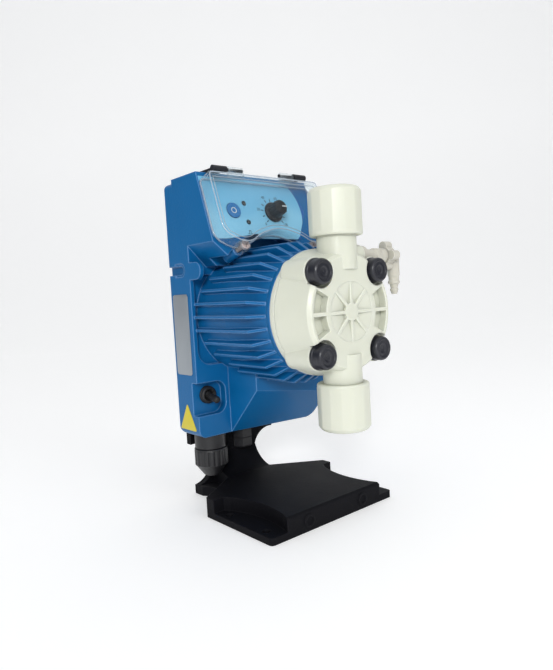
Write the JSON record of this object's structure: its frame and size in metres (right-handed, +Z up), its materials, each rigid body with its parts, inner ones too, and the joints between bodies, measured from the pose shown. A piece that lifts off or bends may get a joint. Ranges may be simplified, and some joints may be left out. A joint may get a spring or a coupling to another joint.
{
  "type": "diaphragm metering pump",
  "caption": "Solenoid diaphragm metering pump with finned casing, sloping control panel under a hinged clear cover, white liquid end and a foot bracket.",
  "frame": {"origin": "centre of the four foot holes, on the underside of the foot", "axes": "+Z up, -Y towards the liquid end at the front, +X to the pump's right seen from the front"},
  "size_m": [0.1277, 0.159, 0.2572],
  "materials": {
    "casing_paint": "blue powder coat, fine orange peel",
    "cover_plastic": "blue moulded plastic",
    "black_rubber": "black soft rubber",
    "seal_rubber": "black ring seal",
    "zinc_screws": "zinc-plated screws",
    "membrane_film": "light blue printed film",
    "button_blue": "dark blue key",
    "lamp_lens": "dark lamp domes",
    "board_laminate": "green board",
    "component_black": "black parts on the board",
    "knob_black": "black knob",
    "pointer_white": "white mark",
    "steel": "turned steel",
    "clear_cover": "clear moulded cover",
    "lid_screw_plastic": "pale plastic screws",
    "hinge_black": "black moulded hinge arms",
    "yoke_iron": "phosphated iron",
    "copper_winding": "enamelled copper",
    "head_plastic": "off-white moulded plastic",
    "diaphragm_white": "white fluoropolymer",
    "valve_plastic": "off-white plastic",
    "ball_ceramic": "white ceramic",
    "cap_black": "black caps",
    "bleed_plastic": "pale grey plastic",
    "gland_black": "black glands",
    "bracket_black": "black moulded bracket",
    "plate_silver": "bare silver plate",
    "sign_yellow": "bare yellow plate"
  },
  "bodies": {
    "housing": {"front_casing": "casing_paint", "rear_cover": "cover_plastic", "cover_gasket": "black_rubber", "cover_screws_rear": "zinc_screws", "panel_membrane": "membrane_film", "button_switch": "component_black", "status_lamps": "lamp_lens", "circuit_board": "board_laminate", "board_chips": "component_black", "potentiometer": "component_black", "hinge_arms": "hinge_black", "switch_boot": "black_rubber", "switch_body": "component_black", "solenoid_yoke": "yoke_iron", "coil_bobbin": "component_black", "coil_winding": "copper_winding", "return_spring": "steel", "head_backplate": "head_plastic", "diaphragm": "diaphragm_white", "pump_head": "head_plastic", "head_bolts": "zinc_screws", "bolt_caps": "cap_black", "discharge_valve": "valve_plastic", "discharge_connector": "head_plastic", "discharge_nut": "head_plastic", "suction_valve": "valve_plastic", "suction_connector": "head_plastic", "suction_nut": "head_plastic", "valve_seals": "seal_rubber", "bleed_body": "bleed_plastic", "bleed_nipple": "bleed_plastic", "large_gland_body": "gland_black", "large_gland_nut": "gland_black", "large_gland_seal": "black_rubber", "small_gland_body": "gland_black", "small_gland_nut": "gland_black", "gland_locknuts": "gland_black", "foot_bracket": "bracket_black", "bracket_screws": "zinc_screws", "side_plate": "plate_silver", "side_triangle": "sign_yellow"},
    "button": {"select_button": "button_blue"},
    "dial": {"dial_knob": "knob_black", "knob_pointer": "pointer_white", "dial_spindle": "steel"},
    "lid": {"panel_cover": "clear_cover", "lid_screws": "lid_screw_plastic"},
    "switch": {"switch_lever": "steel"},
    "drive": {"armature": "steel", "drive_shaft": "steel", "diaphragm_core": "diaphragm_white"},
    "low_ball": {"suction_ball": "ball_ceramic"},
    "high_ball": {"discharge_ball": "ball_ceramic"},
    "bleed_wheel": {"bleed_knob": "bleed_plastic"}
  },
  "joints": [
    {"name": "cover_hinge", "type": "hinge", "parent": "housing", "child": "lid", "pos_m": [0, 0.03034, 0.2546], "axis": [-1, 0, 0], "range_deg": [0, 100]},
    {"name": "button_press", "type": "slide", "parent": "housing", "child": "button", "axis": [0, 0.9505, -0.3107], "range_m": [0, 0.0006], "stiffness_N_per_m": 500, "springref_m": -0.0004},
    {"name": "dial_turn", "type": "hinge", "parent": "housing", "child": "dial", "pos_m": [0.0092, 0.03019, 0.22519], "axis": [0, -0.9505, 0.3107], "range_deg": [-45, 225]},
    {"name": "switch_flip", "type": "hinge", "parent": "housing", "child": "switch", "pos_m": [-0.0405, 0.06165, 0.087], "axis": [-1, 0, 0], "range_deg": [0, 26]},
    {"name": "drive_stroke", "type": "slide", "parent": "housing", "child": "drive", "axis": [0, -1, 0], "range_m": [0, 0.00125], "stiffness_N_per_m": 6000, "springref_m": -0.0015},
    {"name": "suction_lift", "type": "slide", "parent": "housing", "child": "low_ball", "axis": [0, 0, 1], "range_m": [0, 0.0012]},
    {"name": "discharge_lift", "type": "slide", "parent": "housing", "child": "high_ball", "axis": [0, 0, 1], "range_m": [0, 0.0012]},
    {"name": "bleed_turn", "type": "hinge", "parent": "housing", "child": "bleed_wheel", "pos_m": [0.054, -0.04335, 0.186], "axis": [1, 0, 0], "range_deg": [-90, 90]}
  ]
}
